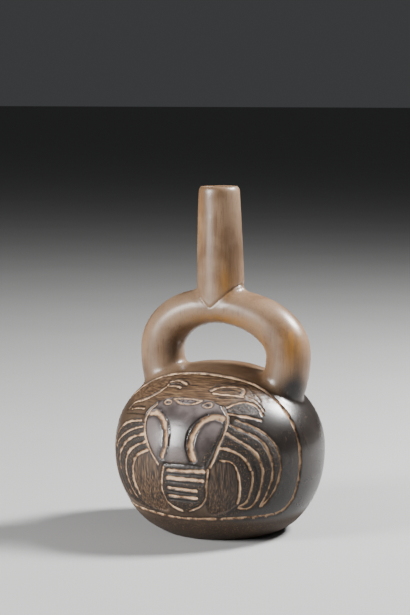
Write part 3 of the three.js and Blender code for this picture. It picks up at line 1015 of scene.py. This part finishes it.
class Graph:
    """Short ways to wire a material's nodes."""

    def __init__(self, material: bpy.types.Material) -> None:
        """Finds the material's shader.

        Args:
            material: The material whose nodes are wired.
        """
        self.tree = material.node_tree
        self.shader = next(n for n in self.tree.nodes if n.type == "BSDF_PRINCIPLED")

    def put(self, kind: str, **inputs: object) -> bpy.types.Node:
        """Adds a node.

        Args:
            kind: The node's type name.
            **inputs: What its inputs are set or linked to, by name.

        Returns:
            The node.
        """
        node = self.tree.nodes.new(kind)
        for key, value in inputs.items():
            self.feed(value, node.inputs[key])
        return node

    def feed(self, value: object, socket: bpy.types.NodeSocket) -> None:
        """Links an output to a socket, or sets the socket to a value.

        Args:
            value: The output or the value.
            socket: The input that takes it.
        """
        if isinstance(value, bpy.types.NodeSocket):
            self.tree.links.new(value, socket)
        else:
            socket.default_value = value

    def link(self, output: bpy.types.NodeSocket, name: str) -> None:
        """Links an output to one of the shader's inputs."""
        self.tree.links.new(output, self.shader.inputs[name])

    def object_place(self) -> bpy.types.NodeSocket:
        """The place on the piece."""
        return self.put("ShaderNodeTexCoord").outputs["Object"]

    def stretch(self, place: bpy.types.NodeSocket, scale: tuple) -> bpy.types.NodeSocket:
        """Scales a place differently along each axis.

        Args:
            place: The place.
            scale: The three factors.

        Returns:
            The scaled place.
        """
        node = self.put("ShaderNodeMapping", Vector=place)
        node.inputs["Scale"].default_value = scale
        return node.outputs["Vector"]

    def noise(self, place: bpy.types.NodeSocket, scale: float, detail: float) -> bpy.types.NodeSocket:
        """A noise pattern from 0 to 1."""
        return self.put("ShaderNodeTexNoise", Vector=place, Scale=scale, Detail=detail).outputs["Fac"]

    def attribute(self, name: str) -> bpy.types.NodeSocket:
        """Reads one of the piece's own masks.

        Args:
            name: The mask's name.

        Returns:
            Its value.
        """
        node = self.tree.nodes.new("ShaderNodeAttribute")
        node.attribute_name = name
        return node.outputs["Fac"]

    def math(self, operation: str, *values: object) -> bpy.types.NodeSocket:
        """Works out a sum.

        Args:
            operation: The node's operation.
            *values: What it works on.

        Returns:
            The result.
        """
        node = self.tree.nodes.new("ShaderNodeMath")
        node.operation = operation
        for socket, value in zip(node.inputs, values):
            self.feed(value, socket)
        return node.outputs[0]

    def times(self, one: object, other: object) -> bpy.types.NodeSocket:
        """One value times another."""
        return self.math("MULTIPLY", one, other)

    def minus(self, value: object, amount: float) -> bpy.types.NodeSocket:
        """A value less a number."""
        return self.math("SUBTRACT", value, amount)

    def add(self, value: object, other: object, share: float) -> bpy.types.NodeSocket:
        """A value plus a share of another."""
        return self.math("MULTIPLY_ADD", other, share, value)

    def ranged(self, value: object, low: float, high: float) -> bpy.types.NodeSocket:
        """Spreads 0 to 1 over another range.

        Args:
            value: The value to spread.
            low: The result at 0.
            high: The result at 1.

        Returns:
            The result, held within the range.
        """
        node = self.put("ShaderNodeMapRange", Value=value)
        node.inputs["To Min"].default_value = low
        node.inputs["To Max"].default_value = high
        return node.outputs[0]

    def ramp(self, value: object, low: float, high: float) -> bpy.types.NodeSocket:
        """Eases from 0 to 1.

        Args:
            value: The value to ease.
            low: Where the result is 0.
            high: Where the result is 1.

        Returns:
            The result.
        """
        node = self.put("ShaderNodeMapRange", Value=value)
        node.interpolation_type = "SMOOTHSTEP"
        node.inputs["From Min"].default_value = low
        node.inputs["From Max"].default_value = high
        return node.outputs[0]

    def mix(self, share: object, one: object, other: object) -> bpy.types.NodeSocket:
        """Mixes two colours.

        Args:
            share: How much of the second colour shows.
            one: The first colour.
            other: The second colour.

        Returns:
            The mixed colour.
        """
        node = self.tree.nodes.new("ShaderNodeMix")
        node.data_type = "RGBA"
        node.clamp_factor = True
        self.feed(share, node.inputs["Factor"])
        self.feed(one, next(s for s in node.inputs if s.name == "A" and s.type == "RGBA"))
        self.feed(other, next(s for s in node.inputs if s.name == "B" and s.type == "RGBA"))
        return next(s for s in node.outputs if s.type == "RGBA")

    def bump(self, height: object, strength: float, distance: float) -> None:
        """Roughens the surface finely."""
        node = self.put("ShaderNodeBump", Strength=strength, Distance=distance, Height=height)
        self.tree.links.new(node.outputs["Normal"], self.shader.inputs["Normal"])


# ------------------------------------------------------------------ the vessel


# rim is painted shade beside the pale lines; dark and smoke carry soot and smoke with some painted
# shade.
FINISH_MASKS = ("smoke_and_shade", "ochre", "ground", "brow", "field", "shield", "rim", "dark", "pale", "matt")


@dataclass(frozen=True)
class Patch:
    """A soft oval patch of one mask, in millimetres.

    Args:
        mask: The mask it adds to.
        centre: Its middle.
        size: How far it reaches along X, Y and Z.
        strength: Its value at the middle.
    """

    mask: str
    centre: tuple[float, float, float]
    size: tuple[float, float, float]
    strength: float

    def share(self, points: np.ndarray) -> np.ndarray:
        """The patch's value at each point."""
        away = (points - np.array(self.centre)) / np.array(self.size)
        return self.strength * np.exp(-np.einsum("ij,ij->i", away, away))


@dataclass
class Weather:
    """Where firing, handling and soil have coloured the clay, and where painted shade darkens it.

    A pair of heights, or a span along X, is where a colour starts and where it is full.
    """

    patches: tuple[Patch, ...] = (
        Patch("ochre", (-13, -8, 216), (7, 10, 20), 0.7),
        Patch("ochre", (10, -13, 174), (5, 8, 12), 0.7),
        Patch("ochre", (8, -12, 148), (24, 9, 4), 0.9),
        Patch("ochre", (60, -11, 134), (6, 8, 20), 1.0),
        Patch("ochre", (37, -6, 132), (4, 9, 14), 0.8),
        Patch("ochre", (-58, -8, 128), (6, 10, 22), 0.4),
        Patch("ochre", (34, -40, 6), (30, 20, 9), 0.5),
        Patch("ochre", (-6, -50, 8), (22, 14, 6), 0.4),
        Patch("smoke_and_shade", (60, -10, 106), (7, 9, 8), 0.9),
        # Painted shade: darkens the spout's right side.
        Patch("smoke_and_shade", (16, -4, 205), (5, 12, 26), 0.4),
        # Partly smoke and partly painted shade on the inner side of the left arm.
        Patch("smoke_and_shade", (-31, -8, 120), (5, 11, 14), 0.5),
    )
    slip_heights: tuple[float, float] = (120.0, 88.0)
    foot_heights: tuple[float, float] = (20.0, 13.0)
    fade_heights: tuple[float, float] = (70.0, 58.0)
    brow_heights: tuple[float, float] = (88.0, 98.0)
    right_span: tuple[float, float] = (-20.0, 55.0)
    side_span: tuple[float, float] = (38.0, 52.0)

    def measure(self, points: np.ndarray, masks: Masks) -> Masks:
        """Works out the finish's masks.

        Args:
            points: Rows of x, y and z, in millimetres.
            masks: The carving's masks at those points.

        Returns:
            Masks for smoke with two patches of painted shade, ochre, the carved grounds and how matt
            the surface is.
        """
        x, _, z = points.T
        drift = soft_noise(points, 24.0, SEED + 4) + 0.5 * soft_noise(points, 9.0, SEED + 5)
        right = smooth_step(*self.right_span, x + 8 * drift)
        low = smooth_step(*self.slip_heights, z + 6 * drift)
        foot = smooth_step(*self.foot_heights, z)
        smoke_and_shade = 0.08 + 0.05 * drift + low * (0.55 + 0.4 * right)
        smoke_and_shade = smoke_and_shade * (1 - foot) + foot * (0.55 + 0.2 * drift)
        spots = {"ochre": np.zeros(len(points)), "smoke_and_shade": smoke_and_shade}
        for patch in self.patches:
            spots[patch.mask] += patch.share(points) * (0.75 + 0.35 * drift)
        legs, shield = masks["legs"], masks["shield"]
        faded = smooth_step(*self.fade_heights, z + 3 * drift) * shield
        ground = np.clip(legs + masks["ear"] + masks["crescent"] + 0.9 * masks["abdomen"], 0, 1)
        ground = np.maximum(ground, 0.75 * faded + 0.7 * foot)
        brow = masks["panel"] * smooth_step(*self.brow_heights, z + 2 * drift) * (1 - 0.7 * shield)
        brow *= (1 - masks["ear"]) * (1 - 0.6 * smooth_step(*self.side_span, x))
        matt = 0.14 - 0.12 * smoke_and_shade + 0.6 * (ground + masks["field"]) + 0.35 * (brow + foot)
        matt -= 0.1 * shield
        return {
            "smoke_and_shade": spots["smoke_and_shade"] * (1 - 0.8 * masks["field"] * (1 - right)),
            "ochre": spots["ochre"] * (1 - masks["panel"]),
            "ground": ground,
            "brow": brow,
            "shield": shield * (1 - 0.8 * faded),
            "matt": np.maximum(matt, masks["pale"]),
        }


@dataclass
class Vessel:
    """The whole bottle, one piece of clay."""

    body: Body = field(default_factory=Body)
    stirrup: Stirrup = field(default_factory=Stirrup)
    spout: Spout = field(default_factory=Spout)
    hollow: Hollow = field(default_factory=Hollow)
    carving: Carving = field(default_factory=Carving)
    weather: Weather = field(default_factory=Weather)
    voxel: float = 2.1
    bore_floor: float = 4.0
    front_limit: float = -16.0
    seam: Knots = (
        (-17.5, 172.6), (-10, 165), (-4.4, 159.4), (-0.8, 157), (3, 159.4), (8.8, 164.8), (18.2, 173),
    )
    seam_reach: float = 9.0
    seam_side: float = 1.5
    seam_cut: float = 0.45
    seam_step: float = 0.5
    seam_blend: float = 7.0
    wave_depth: float = 0.13
    scratch_depth: float = 0.28
    stipple_depth: float = 0.2
    comb_depth: float = 0.16
    comb_heights: tuple[float, float] = (94.0, 99.0)

    def build(self) -> bpy.types.Object:
        """Models the bottle.

        Returns:
            The finished piece, carved and hollow.
        """
        root = self.stirrup.crown
        piece = self.body.build()
        join_forms(piece, self.stirrup.build(), "UNION")
        join_forms(piece, self.spout.build(root), "UNION")
        join_forms(piece, self.spout.bore(root, root + self.bore_floor), "DIFFERENCE")
        apply_modifier(piece, "REMESH", mode="VOXEL", voxel_size=self.voxel * MM)
        apply_modifier(piece, "SMOOTH", factor=0.5, iterations=6)
        self.refine(piece)
        self.carve(piece)
        join_forms(piece, self.hollow.build(self.body, self.stirrup), "DIFFERENCE")
        levels = (root - 2, root + 2 * self.bore_floor)
        bore = self.spout.bore_root
        throat = [self.spout.ring(z, root, bore, bore) for z in levels]
        join_forms(piece, loft("throat", throat, self.spout.sides), "DIFFERENCE")
        make_active(piece)
        bpy.ops.object.shade_smooth_by_angle(angle=math.radians(50))
        return piece

    def refine(self, piece: bpy.types.Object) -> None:
        """Splits the faces of the carved panel and of the spout's seam finely.

        Args:
            piece: The smooth bottle.
        """
        outline = smooth_line(self.carving.border_knots(self.body), True, 2.0) * 1.02
        make_active(piece)
        bpy.ops.object.mode_set(mode="EDIT")
        bpy.ops.mesh.select_mode(type="FACE")
        bpy.ops.mesh.select_all(action="DESELECT")
        mesh = bmesh.from_edit_mesh(piece.data)
        centres = np.array([f.calc_center_median() for f in mesh.faces]) / MM
        front = inside_outline(centres[:, [0, 2]], outline) & (centres[:, 1] < self.front_limit)
        seam = distance_to_line(centres[:, [0, 2]], smooth_line(self.seam, False)) < self.seam_reach
        wanted = front | seam & (np.abs(centres[:, 1]) > self.seam_side)
        for face, is_wanted in zip(mesh.faces, wanted):
            face.select = bool(is_wanted)
        bmesh.update_edit_mesh(piece.data)
        bpy.ops.mesh.subdivide(number_cuts=2, smoothness=0.0)
        bpy.ops.mesh.vertices_smooth(factor=0.5, repeat=3)
        bpy.ops.object.mode_set(mode="OBJECT")

    def carve(self, piece: bpy.types.Object) -> None:
        """Cuts the carving into the front and keeps its masks for the finish.

        Args:
            piece: The bottle, its front finely split.
        """
        mesh = piece.data
        points = np.empty(3 * len(mesh.vertices))
        mesh.vertices.foreach_get("co", points)
        points = points.reshape(-1, 3) / MM
        front = (points[:, 1] < self.front_limit) & (points[:, 2] < self.body.height)
        front &= np.abs(points[:, 0]) < self.body.half_wide
        masks = {}
        for name, values in self.carving.measure(self.body, points[front]).items():
            masks[name] = np.zeros(len(points))
            masks[name][front] = values
        masks["depth"] += self.tooling(points, masks) + self.seam_depth(points)
        masks.update(self.weather.measure(points, masks))
        self.push_in(piece, masks["depth"])
        for name in FINISH_MASKS:
            layer = mesh.attributes.new(name, "FLOAT", "POINT")
            layer.data.foreach_set("value", np.clip(masks[name], 0, 1).astype(np.float32))

    def push_in(self, piece: bpy.types.Object, depth: np.ndarray) -> None:
        """Pushes the surface in.

        Args:
            piece: The bottle.
            depth: How far each vertex goes in, in millimetres.
        """
        levels = 400
        deepest = float(depth.max())
        group = piece.vertex_groups.new(name="depth")
        steps = np.round(np.clip(depth / deepest, 0, 1) * levels).astype(int)
        order = np.argsort(steps, kind="stable")
        starts = np.searchsorted(steps[order], np.arange(levels + 2))
        for level in range(1, levels + 1):
            members = order[starts[level]:starts[level + 1]]
            if len(members):
                group.add(members.tolist(), level / levels, "REPLACE")
        apply_modifier(
            piece, "DISPLACE", strength=-deepest * MM, mid_level=0.0, vertex_group="depth"
        )
        piece.vertex_groups.clear()

    def seam_depth(self, points: np.ndarray) -> np.ndarray:
        """The pointed seam where the spout runs down onto the stirrup, front and back.

        Args:
            points: Rows of x, y and z, in millimetres.

        Returns:
            Depth of the seam and of the stirrup's surface just outside it.
        """
        places = points[:, [0, 2]]
        line = smooth_line(self.seam, False, 0.5)
        gap = distance_to_line(places, line)
        far = 1.25 * self.spout.top
        spout = np.vstack([line, [[line[-1, 0], far], [line[0, 0], far]]])
        below = ~inside_outline(places, spout)
        depth = self.seam_cut * (1 - smooth_step(0.2, 1.3, gap))
        depth += self.seam_step * below * (1 - smooth_step(0.0, self.seam_blend, gap))
        return depth * (np.abs(points[:, 1]) > self.seam_side) * (points[:, 2] > self.body.height)

    def tooling(self, points: np.ndarray, masks: Masks) -> np.ndarray:
        """Unevenness left by the hand: gentle waves everywhere, scratches and stippling in places.

        Args:
            points: Rows of x, y and z, in millimetres.
            masks: The carving's masks at those points.

        Returns:
            Further depth at each point, never below zero.
        """
        wave = self.wave_depth * (1 + soft_noise(points, 16.0, SEED + 1))
        upright = points * np.array([1.0, 1.0, 0.12])
        scratch = self.scratch_depth * (1 + soft_noise(upright, 1.4, SEED + 2)) * masks["field"]
        stipple = self.stipple_depth * (1 + soft_noise(points, 1.5, SEED + 3))
        rough = masks["ear"] + 0.8 * masks["legs"] + 0.8 * masks["crescent"] + 0.6 * masks["abdomen"]
        level = points * np.array([0.15, 1.0, 1.0])
        comb = self.comb_depth * (1 + soft_noise(level, 1.2, SEED + 6))
        comb *= masks["panel"] * smooth_step(*self.comb_heights, points[:, 2])
        return wave + scratch + stipple * np.clip(rough, 0, 1) + comb

    def dress(self, piece: bpy.types.Object, clay: Clay) -> None:
        """Gives the piece its finish and ties it to the frame.

        Args:
            piece: The finished bottle.
            clay: Its finish.
        """
        piece.data.materials.clear()
        piece.data.materials.append(clay.build())
        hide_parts("vessel")
        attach(piece, "root")


# ------------------------------------------------------------------ studio


@dataclass(frozen=True)
class Lamp:
    """One soft lamp aimed at the vessel.

    Args:
        name: The lamp's name.
        azimuth: Degrees round from the front, towards the right.
        height: Its height.
        reach: Its distance along the floor.
        size: Its width.
        power: Its strength in watts.
    """

    name: str
    azimuth: float
    height: float
    reach: float
    size: float
    power: float

    def hang(self, aim: Vector) -> None:
        """Hangs the lamp.

        Args:
            aim: The place it is turned to.
        """
        turn = math.radians(self.azimuth)
        place = Vector((math.sin(turn) * self.reach, -math.cos(turn) * self.reach, self.height))
        data = bpy.data.lights.new(self.name, "AREA")
        data.shape = "RECTANGLE"
        data.size = self.size
        data.size_y = 1.4 * self.size
        data.energy = self.power
        lamp = bpy.data.objects.new(self.name, data)
        lamp.location = place
        lamp.rotation_euler = (aim - place).to_track_quat("-Z", "Y").to_euler()
        bpy.context.scene.collection.objects.link(lamp)


@dataclass
class Studio:
    """Pale floor, soft lights and the camera."""

    lamps: tuple[Lamp, ...] = (
        Lamp("key", -34, 0.62, 1.4, 0.45, 60),
        Lamp("rim", 128, 1.05, 0.95, 0.26, 95),
        Lamp("fill", 60, 1.2, 1.8, 1.2, 2),
    )
    lamp_aim: float = 0.12
    floor_size: float = 60.0
    floor_dark: Color = (0.26, 0.257, 0.254, 1)
    floor_pale: Color = (0.29, 0.287, 0.284, 1)
    sky: Color = (0.8, 0.82, 0.85, 1)
    sky_strength: float = 0.06
    azimuth: float = 24.5
    distance: float = 1.3
    eye_height: float = 0.305
    aim_height: float = 0.1552
    aim_right: float = -0.010
    lens: float = 110.5

    def build_floor(self) -> bpy.types.Object:
        """Lays the floor.

        Returns:
            The floor, kept out of the part.
        """
        deselect_all()
        bpy.ops.mesh.primitive_plane_add(size=self.floor_size)
        floor = bpy.context.object
        floor.name = "floor"
        material = bpy.data.materials.new("pale_floor")
        material.use_nodes = True
        graph = Graph(material)
        shade = graph.noise(graph.object_place(), 6.0, 2.0)
        graph.link(graph.mix(shade, self.floor_dark, self.floor_pale), "Base Color")
        graph.shader.inputs["Roughness"].default_value = 0.8
        floor.data.materials.append(material)
        return floor

    def build_camera(self) -> None:
        """Stands the camera at the front right."""
        turn = math.radians(self.azimuth)
        place = Vector((math.sin(turn), -math.cos(turn), 0)) * self.distance
        place.z = self.eye_height
        right = Vector((math.cos(turn), math.sin(turn), 0))
        aim = right * self.aim_right + Vector((0, 0, self.aim_height))
        data = bpy.data.cameras.new("camera")
        data.sensor_fit = "VERTICAL"
        data.sensor_height = 36.0
        data.lens = self.lens
        camera = bpy.data.objects.new("camera", data)
        camera.location = place
        camera.rotation_euler = (aim - place).to_track_quat("-Z", "Y").to_euler()
        bpy.context.scene.collection.objects.link(camera)
        bpy.context.scene.camera = camera

    def build(self) -> None:
        """Sets up the floor, lamps, sky and camera."""
        self.build_floor()
        for lamp in self.lamps:
            lamp.hang(Vector((0, 0, self.lamp_aim)))
        world = bpy.data.worlds.new("studio")
        world.use_nodes = True
        background = world.node_tree.nodes["Background"]
        background.inputs["Color"].default_value = self.sky
        background.inputs["Strength"].default_value = self.sky_strength
        bpy.context.scene.world = world
        self.build_camera()


def main() -> None:
    """Builds the vessel and the studio."""
    logging.basicConfig(level=logging.INFO, format="%(message)s")
    vessel = Vessel()
    piece = vessel.build()
    vessel.dress(piece, Clay())
    LOG.info("vessel: %d faces", len(piece.data.polygons))
    Studio().build()


if __name__ == "__main__":
    main()
